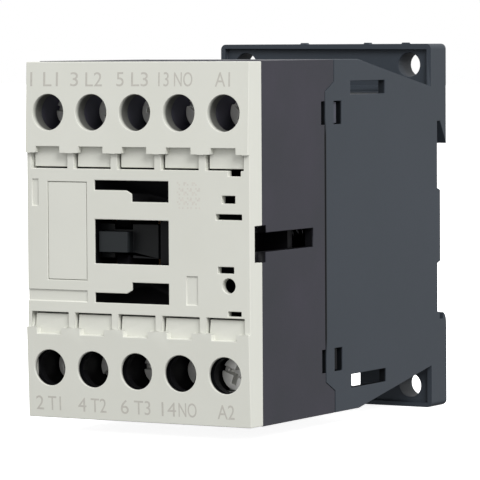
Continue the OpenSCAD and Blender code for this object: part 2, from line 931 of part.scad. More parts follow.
// Contact carrier: windows for the bridges, the front nub and the armature holder
module contact_carrier() {
    first_x = column_x(0) - post_half_w;
    last_x = column_x(poles - 1) + post_half_w;
    cheek_in = half_stack + cheek_gap;
    color(carrier_black)
        difference() {
            union() {
                for (i = [0 : poles - 1])
                    block([column_x(i) - post_half_w, y_carrier, -post_half_z],
                          [column_x(i) + post_half_w, y_beam + beam_t, post_half_z]);
                block([first_x, y_beam, -beam_half_z], [last_x, y_beam + beam_t, beam_half_z]);
                block([column_x(1), y_carrier, -carrier_bar_half_z],
                      [column_x(2), y_spring_seat, carrier_bar_half_z]);
                block([nub_x0, y_carrier - nub_out, nub_low], [nub_x1, y_carrier + eps, nub_top]);
                block([-half_stack - neck_side, y_beam + beam_t - eps, -beam_half_z],
                      [half_stack + neck_side, y_holder + eps, beam_half_z]);
                block([-cheek_in - cheek_t, y_holder, -holder_half_z],
                      [cheek_in + cheek_t, y_arm, holder_half_z]);
                block([-spring_x - spring_seat_half_x, y_holder, -spring_seat_half_z],
                      [spring_x + spring_seat_half_x, y_arm, spring_seat_half_z]);
                left_and_right()
                    block([cheek_in, y_holder, -cheek_half_z],
                          [cheek_in + cheek_t, y_arm_yoke - cheek_short, cheek_half_z]);
            }
            for (i = [0 : poles - 1])
                block([column_x(i) - window_half_w, y_spring_seat, -post_half_z - eps],
                      [column_x(i) + window_half_w, y_bridge_back + eps, post_half_z + eps]);
            translate([-half_w, (y_arm + y_arm_yoke) / 2, 0])
                rotate([0, 90, 0])
                    cylinder(r = pin_r, h = body_w, $fn = round_fn);
        }
}

// Moving contact bridge of one pole
module bridge(i) {
    color(copper)
        block([column_x(i) - bridge_half_w, y_bridge, -bridge_half_l],
              [column_x(i) + bridge_half_w, y_bridge_back, bridge_half_l]);
}

// Two silver tips of one bridge
module bridge_tips(i) {
    color(silver)
        for (z = [-tip_z, tip_z])
            rod_y([column_x(i), y_bridge_back, z], tip_r, tip_h);
}

// Spring that presses one bridge against the fixed contacts
module contact_spring(i) {
    color(steel)
        translate([column_x(i), y_spring_seat, 0])
            rotate([-90, 0, 0])
                coil_spring(contact_spring_r, thin_wire, contact_spring_len, contact_spring_turns);
}

// Fixed contact strip of one terminal of the upper row
module fixed_contact(i) {
    color(copper)
        difference() {
            along_x(strip_w, column_x(i))
                polygon([
                    [y_pad, terminal_z + pad_end], [y_pad, riser_z], [y_foot, riser_z],
                    [y_foot, foot_end], [y_foot_back, foot_end], [y_foot_back, riser_z + strip_t],
                    [y_pad_back, riser_z + strip_t], [y_pad_back, terminal_z + pad_end]
                ]);
            rod_y([column_x(i), y_pad - eps, terminal_z], screw_d / 2 + thread_gap, strip_t + 2 * eps);
        }
}

// Silver tips of the eight fixed contacts
module fixed_contact_tips() {
    color(silver)
        for (i = [0 : poles - 1], z = [-tip_z, tip_z])
            rod_y([column_x(i), y_fixed_tip, z], tip_r, tip_h);
}

// Terminal screw with a combined slot and cross; shift moves it out of its tight position
module terminal_screw(i, z, turn, shift = 0) {
    slot = [screw_head_d + 2 * eps, slot_w, slot_depth];
    cross = [cross_len, slot_w, cross_depth];
    color(zinc)
        translate([column_x(i), y_head + shift, z])
            rotate([-90, turn, 0])
                difference() {
                    union() {
                        cylinder(d = screw_head_d, h = screw_head_h, $fn = round_fn);
                        cylinder(d = screw_d, h = screw_head_h + screw_len - shank_point, $fn = round_fn);
                        translate([0, 0, screw_head_h + screw_len - shank_point - eps])
                            cylinder(d1 = screw_d, d2 = screw_d - shank_point, h = shank_point + eps,
                                     $fn = round_fn);
                    }
                    translate([-slot.x / 2, -slot.y / 2, -eps])
                        cube(slot);
                    for (a = [0, 90])
                        rotate([0, 0, a])
                            translate([-cross.x / 2, -cross.y / 2, -eps])
                                cube(cross);
                }
}

// Square clamp plate under a terminal screw, with turned-up ends
module clamp_plate(i, z, shift = 0) {
    x = column_x(i);
    color(zinc)
        translate([0, shift, 0])
            difference() {
                union() {
                    block([x - clamp_half_x, y_clamp, z - clamp_half_z],
                          [x + clamp_half_x, y_clamp + clamp_t, z + clamp_half_z]);
                    for (side = [-1, 1])
                        translate([x - clamp_half_x, y_clamp - clamp_lip_h,
                                   z + side * (clamp_half_z - clamp_lip_w / 2) - clamp_lip_w / 2])
                            cube([2 * clamp_half_x, clamp_lip_h + eps, clamp_lip_w]);
                }
                rod_y([x, y_clamp - eps, z], screw_d / 2 + thread_gap, clamp_t + 2 * eps);
            }
}

module bridge_l1() { bridge(0); }
module bridge_l2() { bridge(1); }
module bridge_l3() { bridge(2); }
module bridge_no() { bridge(3); }
module bridge_tips_l1() { bridge_tips(0); }
module bridge_tips_l2() { bridge_tips(1); }
module bridge_tips_l3() { bridge_tips(2); }
module bridge_tips_no() { bridge_tips(3); }
module contact_spring_l1() { contact_spring(0); }
module contact_spring_l2() { contact_spring(1); }
module contact_spring_l3() { contact_spring(2); }
module contact_spring_no() { contact_spring(3); }
module fixed_contact_l1() { fixed_contact(0); }
module fixed_contact_l2() { fixed_contact(1); }
module fixed_contact_l3() { fixed_contact(2); }
module fixed_contact_13() { fixed_contact(3); }
module fixed_contact_t1() { mirror([0, 0, 1]) fixed_contact(0); }
module fixed_contact_t2() { mirror([0, 0, 1]) fixed_contact(1); }
module fixed_contact_t3() { mirror([0, 0, 1]) fixed_contact(2); }
module fixed_contact_14() { mirror([0, 0, 1]) fixed_contact(3); }
module screw_l1() { terminal_screw(0, terminal_z, 12); }
module screw_l2() { terminal_screw(1, terminal_z, 55); }
module screw_l3() { terminal_screw(2, terminal_z, 100); }
module screw_13() { terminal_screw(3, terminal_z, 30); }
module screw_a1() { terminal_screw(4, terminal_z, 38); }
module screw_t1() { terminal_screw(0, -terminal_z, 75); }
module screw_t2() { terminal_screw(1, -terminal_z, 140); }
module screw_t3() { terminal_screw(2, -terminal_z, 5); }
module screw_14() { terminal_screw(3, -terminal_z, 120); }
module screw_a2() { terminal_screw(4, -terminal_z, 20, open_shift); }
module clamp_l1() { clamp_plate(0, terminal_z); }
module clamp_l2() { clamp_plate(1, terminal_z); }
module clamp_l3() { clamp_plate(2, terminal_z); }
module clamp_13() { clamp_plate(3, terminal_z); }
module clamp_a1() { clamp_plate(4, terminal_z); }
module clamp_t1() { clamp_plate(0, -terminal_z); }
module clamp_t2() { clamp_plate(1, -terminal_z); }
module clamp_t3() { clamp_plate(2, -terminal_z); }
module clamp_14() { clamp_plate(3, -terminal_z); }
module clamp_a2() { clamp_plate(4, -terminal_z, open_shift); }

front_cover();
marking_label();
contact_housing();
base_housing();
din_latch();
din_latch_spring();
core_pad();
fixed_core();
shading_rings();
coil_bobbin();
coil_winding();
coil_terminal_a1();
coil_terminal_a2();
contact_carrier();
armature();
armature_pin();
return_spring_left();
return_spring_right();
bridge_l1();
bridge_l2();
bridge_l3();
bridge_no();
bridge_tips_l1();
bridge_tips_l2();
bridge_tips_l3();
bridge_tips_no();
contact_spring_l1();
contact_spring_l2();
contact_spring_l3();
contact_spring_no();
fixed_contact_l1();
fixed_contact_l2();
fixed_contact_l3();
fixed_contact_13();
fixed_contact_t1();
fixed_contact_t2();
fixed_contact_t3();
fixed_contact_14();
fixed_contact_tips();
screw_l1();
screw_l2();
screw_l3();
screw_13();
screw_a1();
screw_t1();
screw_t2();
screw_t3();
screw_14();
screw_a2();
clamp_l1();
clamp_l2();
clamp_l3();
clamp_13();
clamp_a1();
clamp_t1();
clamp_t2();
clamp_t3();
clamp_14();
clamp_a2();
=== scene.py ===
"""Looks of a compact control relay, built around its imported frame.

Every piece is placed from the frame in metres: X to the right, Y from the front towards the panel, Z up.
"""

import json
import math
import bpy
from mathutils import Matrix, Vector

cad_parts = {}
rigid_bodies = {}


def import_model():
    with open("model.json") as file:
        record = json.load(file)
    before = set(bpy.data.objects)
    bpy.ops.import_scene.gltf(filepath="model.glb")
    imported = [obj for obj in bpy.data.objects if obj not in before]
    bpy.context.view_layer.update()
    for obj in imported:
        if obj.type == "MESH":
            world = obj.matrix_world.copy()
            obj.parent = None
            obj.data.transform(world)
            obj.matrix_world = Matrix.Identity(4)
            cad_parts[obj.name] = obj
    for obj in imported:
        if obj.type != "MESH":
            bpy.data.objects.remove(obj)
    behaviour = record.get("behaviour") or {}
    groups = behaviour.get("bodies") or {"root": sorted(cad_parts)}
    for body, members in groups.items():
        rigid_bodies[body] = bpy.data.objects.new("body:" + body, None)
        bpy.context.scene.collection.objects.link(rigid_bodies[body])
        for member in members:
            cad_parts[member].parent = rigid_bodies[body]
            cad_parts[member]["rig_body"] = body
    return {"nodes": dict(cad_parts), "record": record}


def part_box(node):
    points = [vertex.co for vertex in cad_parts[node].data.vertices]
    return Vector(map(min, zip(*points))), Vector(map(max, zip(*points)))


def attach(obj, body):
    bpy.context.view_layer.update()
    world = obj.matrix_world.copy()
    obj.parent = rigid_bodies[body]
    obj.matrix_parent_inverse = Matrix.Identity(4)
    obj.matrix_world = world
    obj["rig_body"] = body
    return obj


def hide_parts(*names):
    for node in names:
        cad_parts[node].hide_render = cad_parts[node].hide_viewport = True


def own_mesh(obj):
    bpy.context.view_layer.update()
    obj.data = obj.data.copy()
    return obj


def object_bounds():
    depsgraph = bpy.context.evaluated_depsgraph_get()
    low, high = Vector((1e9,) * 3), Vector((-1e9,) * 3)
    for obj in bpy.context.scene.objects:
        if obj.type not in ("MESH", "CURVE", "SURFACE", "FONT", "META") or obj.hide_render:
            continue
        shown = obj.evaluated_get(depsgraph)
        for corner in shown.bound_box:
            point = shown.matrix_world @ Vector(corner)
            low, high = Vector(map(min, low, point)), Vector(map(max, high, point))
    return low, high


bl_info = {
    "name": "Control Relay",
    "version": (1, 0, 0),
    "blender": (4, 5, 0),
    "location": "View3D > Sidebar > Relay",
    "description": "Moulded housings, screws, contacts, magnet and stage of a compact control relay",
    "category": "Add Mesh",
}

import bmesh
import bpy
from mathutils import Matrix, Vector

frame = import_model()
CAD_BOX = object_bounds()

MM = 0.001
WELD = 0.002 * MM
POLES = ("l1", "l2", "l3", "no")
UPPER_ROW = ("l1", "l2", "l3", "13", "a1")
LOWER_ROW = ("t1", "t2", "t3", "14", "a2")
TERMINALS = UPPER_ROW + LOWER_ROW

# Terminal banks: how far they fall back, where they start and how high they are; then the face between them
BANK_RISE = 0.65 * MM
BANK_START = 15.3 * MM
BANK_SPAN = 16 * MM
FACE_BEHIND = 0.6 * MM
# The springs' wires
RETURN_WIRE = 0.5 * MM
THIN_WIRE = 0.35 * MM


# ---------------------------------------------------------------- settings


def colour(name, description, value):
    """A colour property with its default."""
    return bpy.props.FloatVectorProperty(
        name=name, description=description, default=value, size=3, min=0, max=1, subtype="COLOR"
    )


def length(name, description, value):
    """A length property in metres with its default."""
    return bpy.props.FloatProperty(
        name=name, description=description, default=value, min=0, precision=5, unit="LENGTH"
    )


class RelayPlasticSettings(bpy.types.PropertyGroup):
    """Colours and edges of the moulded pieces."""

    cover: colour("Cover", "Light grey of the front cover", (0.635, 0.64, 0.585))
    housing: colour("Contact housing", "Charcoal of the contact housing", (0.034, 0.034, 0.043))
    base: colour("Base", "Cool charcoal of the base", (0.038, 0.046, 0.057))
    carrier: colour("Carrier", "Dark grey of the contact carrier", (0.018, 0.021, 0.023))
    former: colour("Coil former", "Natural plastic of the coil former", (0.62, 0.58, 0.47))
    pad: colour("Core pad", "Black rubber of the core pad", (0.02, 0.02, 0.021))
    edge: length("Edge radius", "Radius of the small moulded edges", 0.12 * MM)
    texture: length("Texture size", "Size of the eroded mould texture", 0.16 * MM)


class RelayMetalSettings(bpy.types.PropertyGroup):
    """Colours of the metal pieces."""

    zinc: colour("Zinc", "Zinc plating of screws and clamp plates", (0.82, 0.82, 0.79))
    spring: colour("Spring wire", "Drawn spring wire", (0.36, 0.37, 0.38))
    core: colour("Core steel", "Ground core laminations", (0.30, 0.31, 0.32))
    copper: colour("Copper", "Enamelled winding wire and shading rings", (0.52, 0.20, 0.09))
    strip: colour("Contact strip", "Copper alloy of the contact strips", (0.62, 0.36, 0.20))
    silver: colour("Contact tip", "Silver alloy of the contact tips", (0.80, 0.79, 0.75))


class RelayMarkSettings(bpy.types.PropertyGroup):
    """Terminal numbers printed on the cover."""

    ink: colour("Ink", "Grey of the printed terminal numbers", (0.47, 0.455, 0.415))
    height: length("Height", "Height of a capital", 2.45 * MM)
    thickness: length("Thickness", "Thickness of the ink", 0.015 * MM)
    upper: length("Upper line", "Height of the upper line's middle", 28.17 * MM)
    lower: length("Lower line", "Depth of the lower line's middle", 28.65 * MM)


class RelayStageSettings(bpy.types.PropertyGroup):
    """Camera, floor and lights."""

    lens: bpy.props.FloatProperty(name="Lens", description="Focal length", default=269.4, unit="CAMERA")
    place: bpy.props.FloatVectorProperty(
        name="Camera place", description="Where the camera stands", default=(0.32392, -0.603, 0.03518),
        size=3, subtype="TRANSLATION",
    )
    turn: bpy.props.FloatVectorProperty(
        name="Camera turn", description="Pitch down, roll and yaw of the camera",
        default=(math.radians(3.22), math.radians(-0.336), math.radians(29.85)), size=3, subtype="EULER",
    )
    floor: length("Floor", "Height of the object over the floor", 0.05 * MM)
    floor_colour: colour("Floor colour", "Pale floor", (0.9, 0.9, 0.9))
    sky: bpy.props.FloatProperty(name="Sky", description="Strength of the even light", default=1.0, min=0)
    key: bpy.props.FloatProperty(name="Key light", description="Power of the key light", default=10.0, min=0)


# ---------------------------------------------------------------- materials


def node_of(tree, kind, inputs=None, **attributes):
    """Adds a shader node and sets its attributes and unlinked inputs."""
    node = tree.nodes.new(kind)
    for name, value in attributes.items():
        setattr(node, name, value)
    for name, value in (inputs or {}).items():
        node.inputs[name].default_value = value
    return node


def start_material(name, roughness, metallic=0.0, specular=0.5):
    """A new material with its tree, its shader and the object's own coordinates."""
    material = bpy.data.materials.new(name)
    material.use_nodes = True
    tree = material.node_tree
    shader = tree.nodes["Principled BSDF"]
    shader.inputs["Roughness"].default_value = roughness
    shader.inputs["Metallic"].default_value = metallic
    shader.inputs["Specular IOR Level"].default_value = specular
    place = node_of(tree, "ShaderNodeTexCoord").outputs["Object"]
    return material, tree, shader, place


def mottle(tree, place, size, detail=3.0):
    """Noise whose patches are about size across."""
    noise = node_of(tree, "ShaderNodeTexNoise", {"Scale": 1 / size, "Detail": detail, "Roughness": 0.55})
    tree.links.new(place, noise.inputs["Vector"])
    return noise.outputs["Fac"]


def between(tree, factor, low, high):
    """Two colours mixed by a factor."""
    ramp = node_of(tree, "ShaderNodeValToRGB")
    ramp.color_ramp.elements[0].position = 0.3
    ramp.color_ramp.elements[1].position = 0.7
    ramp.color_ramp.elements[0].color = (*low, 1)
    ramp.color_ramp.elements[1].color = (*high, 1)
    tree.links.new(factor, ramp.inputs["Fac"])
    return ramp.outputs["Color"]


def spread(tree, factor, low, high):
    """A factor from 0 to 1 spread over a range."""
    node = node_of(tree, "ShaderNodeMapRange", {"To Min": low, "To Max": high})
    tree.links.new(factor, node.inputs["Value"])
    return node.outputs["Result"]


def press_bump(tree, shader, height, strength, distance):
    """Fine relief on the shader's normal."""
    bump = node_of(tree, "ShaderNodeBump", {"Strength": strength, "Distance": distance})
    tree.links.new(height, bump.inputs["Height"])
    tree.links.new(bump.outputs["Normal"], shader.inputs["Normal"])


def fade(tree, value, start, end, low, high):
    """A value spread from low at start to high at end."""
    node = node_of(tree, "ShaderNodeMapRange",
                   {"From Min": start, "From Max": end, "To Min": low, "To Max": high})
    tree.links.new(value, node.inputs["Value"])
    return node.outputs["Result"]


def joined(tree, operation, *values):
    """Numbers joined by one operation of arithmetic."""
    node = node_of(tree, "ShaderNodeMath", operation=operation)
    for value, socket in zip(values, node.inputs):
        if isinstance(value, float):
            socket.default_value = value
        else:
            tree.links.new(value, socket)
    return node.outputs[0]


def scaled_by(tree, shade, factor, low):
    """A colour scaled from 1 down or up to low as a factor goes from 0 to 1."""
    scale = node_of(tree, "ShaderNodeVectorMath", operation="SCALE")
    tree.links.new(shade, scale.inputs[0])
    tree.links.new(fade(tree, factor, 0.0, 1.0, 1.0, low), scale.inputs["Scale"])
    return scale.outputs[0]


def painted_depth_light(tree, place, shade, painted_light_zone):
    """Paints shade on a colour within side walls and between two heights, from one depth to another; a factor
    over 1 paints light instead.
    """
    half_x, bottom, top, start, end, low = painted_light_zone
    soft = 0.3 * MM
    split = node_of(tree, "ShaderNodeSeparateXYZ")
    tree.links.new(place, split.inputs["Vector"])
    across = fade(tree, joined(tree, "ABSOLUTE", split.outputs["X"]), half_x, half_x + soft, 1.0, 0.0)
    over = fade(tree, split.outputs["Z"], bottom - soft, bottom, 0.0, 1.0)
    under = fade(tree, split.outputs["Z"], top, top + soft, 1.0, 0.0)
    deep = fade(tree, split.outputs["Y"], start, end, 0.0, 1.0)
    upright = joined(tree, "MULTIPLY", over, under)
    within = joined(tree, "MULTIPLY", joined(tree, "MULTIPLY", across, upright), deep)
    return scaled_by(tree, shade, within, low)


def paint_seam_shade(tree, place, shade, seam_shade):
    """Paints shade on a colour along the line where two parts meet, at one depth and between two heights."""
    depth, half_z, half_gap, low = seam_shade
    split = node_of(tree, "ShaderNodeSeparateXYZ")
    tree.links.new(place, split.inputs["Vector"])
    away = joined(tree, "ABSOLUTE", joined(tree, "SUBTRACT", split.outputs["Y"], depth))
    near = fade(tree, away, half_gap, half_gap + 0.15 * MM, 1.0, 0.0)
    height = joined(tree, "ABSOLUTE", split.outputs["Z"])
    upright = fade(tree, height, half_z, half_z + 3 * MM, 1.0, 0.0)
    return scaled_by(tree, shade, joined(tree, "MULTIPLY", near, upright), low)


def scaled(tone, factors):
    """A colour with each channel multiplied, kept under white."""
    return tuple(min(1.0, c * f) for c, f in zip(tone, factors))


def plastic(name, tone, cool=(1, 1, 1), warm=(1, 1, 1), roughness=0.5, specular=0.35,
            patch=9 * MM, relief=0.35, painted_light_zones=(), seam_shade=None):
    """Matt moulded plastic: soft mottling, an eroded mould texture, uneven gloss, painted shade and light on
    inner walls and painted shade where two parts meet.
    """
    texture = bpy.context.scene.relay_plastic.texture
    material, tree, shader, place = start_material(name, roughness, specular=specular)
    shade = between(tree, mottle(tree, place, patch), scaled(tone, cool), scaled(tone, warm))
    # Painted shade and light on inner walls, then painted shade where the housing meets the base
    for painted_light_zone in painted_light_zones:
        shade = painted_depth_light(tree, place, shade, painted_light_zone)
    if seam_shade:
        shade = paint_seam_shade(tree, place, shade, seam_shade)
    tree.links.new(shade, shader.inputs["Base Color"])
    grain = mottle(tree, place, texture, 2.0)
    tree.links.new(spread(tree, grain, roughness - 0.09, roughness + 0.09), shader.inputs["Roughness"])
    press_bump(tree, shader, grain, relief, 0.02 * MM)
    return material


def metal(name, tone, roughness, stretch=(1, 1, 1), size=0.25 * MM, relief=0.25, wear=0.82,
          metallic=1.0):
    """Metal with fine stretched tool marks and slightly dull patches."""
    material, tree, shader, place = start_material(name, roughness, metallic=metallic)
    mapping = node_of(tree, "ShaderNodeMapping", {"Scale": stretch})
    tree.links.new(place, mapping.inputs["Vector"])
    marks = mottle(tree, mapping.outputs["Vector"], size, 4.0)
    patches = mottle(tree, place, 2.5 * MM)
    shade = between(tree, patches, scaled(tone, (wear,) * 3), tone)
    tree.links.new(shade, shader.inputs["Base Color"])
    tree.links.new(spread(tree, marks, roughness - 0.1, roughness + 0.14), shader.inputs["Roughness"])
    press_bump(tree, shader, marks, relief, 0.01 * MM)
    return material


def banded(name, tone, dark, axis, pitch, roughness, metallic, relief=0.6):
    """Fine parallel bands across an axis: core laminations or layers of wire."""
    material, tree, shader, place = start_material(name, roughness, metallic=metallic)
    wave = node_of(tree, "ShaderNodeTexWave", {"Scale": 1 / (pitch * 2 * math.pi), "Distortion": 0.4},
                   bands_direction=axis, wave_profile="SIN")
    tree.links.new(place, wave.inputs["Vector"])
    tree.links.new(between(tree, wave.outputs["Fac"], dark, tone), shader.inputs["Base Color"])
    press_bump(tree, shader, wave.outputs["Fac"], relief, 0.03 * MM)
    return material


def ink_material(name, paler):
    """Worn pad-printed ink, made paler by a factor."""
    tone = scaled(bpy.context.scene.relay_marks.ink, (paler,) * 3)
    material, tree, shader, place = start_material(name, 0.6, specular=0.3)
    shade = between(tree, mottle(tree, place, 0.5 * MM), scaled(tone, (0.96,) * 3),
                    scaled(tone, (1.08,) * 3))
    tree.links.new(shade, shader.inputs["Base Color"])
    return material


MATERIALS = {}


def material_of(slot):
    """The material of one of the record's slots, made once."""
    if slot in MATERIALS:
        return MATERIALS[slot]
    plastics = bpy.context.scene.relay_plastic
    metals = bpy.context.scene.relay_metal
    cover_low, cover_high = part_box("front_cover")
    wall = 1.3 * MM
    face = cover_low.y + FACE_BEHIND
    width, top = cover_high.x - wall, cover_high.z - wall
    bank, window = 18 * MM, 23.7 * MM
    # Painted shade inside the cover: deep in the windows between the banks, and in the holes of the upper
    # bank and, darker still, the lower bank
    cover_painted_shade = (
        (width, -bank, bank, face + 0.75 * MM, face + 3.2 * MM, 0.06),
        (width, bank, top, face + 0.1 * MM, face + 0.9 * MM, 0.16),
        (width, -top, -bank, face + 0.05 * MM, face + 0.4 * MM, 0.03),
    )
    width, top = cover_high.x - 0.3 * MM, cover_high.z - 0.3 * MM
    # Painted shade on the housing's walls behind the windows and the lower holes, painted light on its walls
    # behind the upper holes
    housing_painted_shade_and_light = (
        (width, -top, bank, face, face + 0.5 * MM, 0.12),
        (width, bank, top, face, face + 0.5 * MM, 2.2),
    )
    # Painted shade on the base's inner walls in front of its mounting plate, deeper still below 23.7 mm
    base_painted_shade = (
        (width, -top, top, -7 * MM, -9 * MM, 0.4),
        (width, -top, window, -7 * MM, -9 * MM, 0.3),
    )
    # Painted shade on the carrier deeper than its front
    carrier_painted_shade = ((width, -top, top, face + 1.6 * MM, face + 2.1 * MM, 0.3),)
    # Painted shade along the line where the contact housing meets the base
    seam_shade = (-47.4 * MM, 18 * MM, 0.28 * MM, 0.1)
    cover, core, copper = tuple(plastics.cover), tuple(metals.core), tuple(metals.copper)
    makers = {
        "cover_plastic": lambda: plastic(
            "Cover plastic", cover, (0.985, 0.985, 0.98), (1.01, 1.01, 1.01), painted_light_zones=cover_painted_shade),
        "label_plastic": lambda: plastic(
            "Label plastic", cover, (1.0, 1.0, 1.0), (1.03, 1.03, 1.03), roughness=0.42, relief=0.1),
        "housing_plastic": lambda: plastic(
            "Housing plastic", tuple(plastics.housing), (0.90, 0.95, 0.93), (1.12, 1.06, 1.14),
            specular=0.16, patch=14 * MM, painted_light_zones=housing_painted_shade_and_light, seam_shade=seam_shade),
        "base_plastic": lambda: plastic(
            "Base plastic", tuple(plastics.base), (0.97, 0.98, 0.98), (1.03, 1.03, 1.04),
            specular=0.16, patch=16 * MM, painted_light_zones=base_painted_shade, seam_shade=seam_shade),
        "carrier_plastic": lambda: plastic(
            "Carrier plastic", tuple(plastics.carrier), roughness=0.45, specular=0.2, painted_light_zones=carrier_painted_shade),
        "bobbin_plastic": lambda: plastic("Former plastic", tuple(plastics.former), roughness=0.4),
        "pad_rubber": lambda: plastic("Pad rubber", tuple(plastics.pad), roughness=0.8, specular=0.2),
        "core_steel": lambda: banded(
            "Core laminations", core, scaled(core, (0.55,) * 3), "X", 0.5 * MM, 0.38, 1.0),
        "winding_copper": lambda: banded(
            "Winding wire", copper, scaled(copper, (0.35,) * 3), "Y", 0.22 * MM, 0.32, 0.9),
        "contact_brass": lambda: metal("Contact strip", tuple(metals.strip), 0.32, (1, 1, 0.15)),
        "contact_silver": lambda: metal("Contact tip", tuple(metals.silver), 0.36),
        "zinc_steel": lambda: metal("Zinc plate", tuple(metals.zinc), 0.4, metallic=0.5),
        "spring_steel": lambda: metal("Spring wire", tuple(metals.spring), 0.3, size=0.12 * MM),
    }
    MATERIALS[slot] = makers[slot]()
    return MATERIALS[slot]


# ---------------------------------------------------------------- mesh work


def slot_of(node):
    """The record's material slot of a CAD node."""
    return next(s["material_slot"] for s in frame["record"]["subparts"] if s["node"] == node)


def body_of(node):
    """The name of the body that a CAD node rides on."""
    return frame["nodes"][node]["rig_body"]


def dress(piece, material):
    """Gives a piece one material."""
    piece.data.materials.clear()
    piece.data.materials.append(material)


def settle(piece, node):
    """Lets a piece stand for a CAD node, with its body, its slot and its material."""
    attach(piece, body_of(node))
    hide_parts(node)
    dress(piece, material_of(slot_of(node)))
    return piece


def flat_faced(node):
    """A welded copy of a node's mesh in which each flat side is one face."""
    bm = bmesh.new()
    bm.from_mesh(frame["nodes"][node].data)
    bmesh.ops.remove_doubles(bm, verts=bm.verts, dist=WELD)
    bmesh.ops.dissolve_limit(bm, angle_limit=math.radians(0.5), verts=bm.verts, edges=bm.edges)
    return bm


def edge_turn(edge):
    """The angle between the two faces of an edge, or 0 at a border."""
    return edge.calc_face_angle(0.0) if len(edge.link_faces) == 2 else 0.0


def round_edges(bm, chosen, radius, segments=2):
    """Rounds the chosen sharp edges, except those that meet an edge too short for the radius."""
    sharp = [e for e in bm.edges if edge_turn(e) > math.radians(28)]
    tight = {v for e in sharp if e.calc_length() < 1.6 * radius for v in e.verts}
    picked = [e for e in sharp if chosen(e) and not tight.intersection(e.verts)]
    if picked:
        bmesh.ops.bevel(bm, geom=picked, offset=radius, offset_type="OFFSET", segments=segments, profile=0.5,
                        affect="EDGES", clamp_overlap=False, miter_outer="SHARP", miter_inner="SHARP")


def finished_object(bm, name):
    """Turns a bmesh into a smooth-shaded object whose flat faces stay flat and sharp edges crisp."""
    bmesh.ops.recalc_face_normals(bm, faces=bm.faces)
    mesh = bpy.data.meshes.new(name)
    bm.to_mesh(mesh)
    bm.free()
    for polygon in mesh.polygons:
        polygon.use_smooth = True
    mesh.set_sharp_from_angle(angle=math.radians(50))
    piece = bpy.data.objects.new(name, mesh)
    bpy.context.scene.collection.objects.link(piece)
    weighted = piece.modifiers.new("flat faces", "WEIGHTED_NORMAL")
    weighted.mode = "FACE_AREA"
    weighted.keep_sharp = True
    weighted.weight = 100
    return piece


def moulded(node, name, passes):
    """A copy of a node with rounded edges: passes are (chooser, radius) pairs."""
    bm = flat_faced(node)
    for chosen, radius in passes:
        round_edges(bm, chosen, radius)
    return settle(finished_object(bm, name), node)


def everywhere(edge):
    """Chooses every edge."""
    return True


def on_sides(edge):
    """Chooses the edges that lie on the object's left and right sides."""
    return all(abs(v.co.x) > CAD_BOX[1].x - 0.02 * MM for v in edge.verts)


def wire_spring(name, node, start, axis, size, radius, wire, turns):
    """A coil spring of round wire with closed ends, along axis from start."""
    sides, steps = 10, 28
    rings = int(turns * steps)
    mid = radius - wire / 2
    frame_turn = Vector((0, 0, 1)).rotation_difference(Vector(axis)).to_matrix()
    rise = (size - wire) / (turns - 1.5)
    bm = bmesh.new()
    rows = []
    height = wire / 2
    for i in range(rings + 1):
        turn = i / steps
        inner = min(turn, turns - turn)
        pitch = rise * min(1.0, 0.25 + 0.75 * min(1.0, max(0.0, inner - 0.5)))
        if i:
            height += pitch / steps
        a = 2 * math.pi * turn
        rows.append((a, height))
    fit = (size - wire) / (rows[-1][1] - wire / 2)
    loops = []
    for a, h in rows:
        h = wire / 2 + (h - wire / 2) * fit
        ring = []
        for j in range(sides):
            b = 2 * math.pi * j / sides
            reach = mid + wire / 2 * math.cos(b)
            point = Vector((reach * math.cos(a), reach * math.sin(a), h + wire / 2 * math.sin(b)))
            ring.append(bm.verts.new(Vector(start) + frame_turn @ point))
        loops.append(ring)
    for low, high in zip(loops, loops[1:]):
        for j in range(sides):
            k = (j + 1) % sides
            bm.faces.new((low[j], low[k], high[k], high[j]))
    bm.faces.new(list(reversed(loops[0])))
    bm.faces.new(loops[-1])
    return settle(finished_object(bm, name), node)


# ---------------------------------------------------------------- operators


class RELAY_OT_front_cover(bpy.types.Operator):
    """Makes the light grey front cover and its blank marking label"""

    bl_idname = "relay.front_cover"
    bl_label = "Front Cover"

    def execute(self, context):
        look = context.scene.relay_plastic
        moulded("front_cover", "front_cover_moulding", [(everywhere, look.edge)])
        moulded("marking_label", "marking_label_plate", [(everywhere, look.edge * 0.6)])
        return {"FINISHED"}


class RELAY_OT_housings(bpy.types.Operator):
    """Makes the contact housing, the base and the rail latch"""

    bl_idname = "relay.housings"
    bl_label = "Housings"

    def execute(self, context):
        look = context.scene.relay_plastic
        moulded("contact_housing", "contact_housing_moulding", [(on_sides, look.edge)])
        moulded("base_housing", "base_housing_moulding", [(everywhere, look.edge)])
        moulded("din_latch", "rail_latch_slider", [(everywhere, look.edge)])
        return {"FINISHED"}


class RELAY_OT_carrier(bpy.types.Operator):
    """Makes the contact carrier with its nub"""

    bl_idname = "relay.carrier"
    bl_label = "Contact Carrier"

    def execute(self, context):
        look = context.scene.relay_plastic
        moulded("contact_carrier", "contact_carrier_moulding", [(everywhere, look.edge * 0.75)])
        return {"FINISHED"}


class RELAY_OT_terminals(bpy.types.Operator):
    """Makes the terminal screws and their clamp plates"""

    bl_idname = "relay.terminals"
    bl_label = "Terminal Screws"

    def execute(self, context):
        look = context.scene.relay_plastic
        for terminal in TERMINALS:
            moulded("screw_" + terminal, "terminal_screw_" + terminal, [(everywhere, look.edge)])
            moulded("clamp_" + terminal, "clamp_plate_" + terminal, [(everywhere, look.edge)])
        return {"FINISHED"}


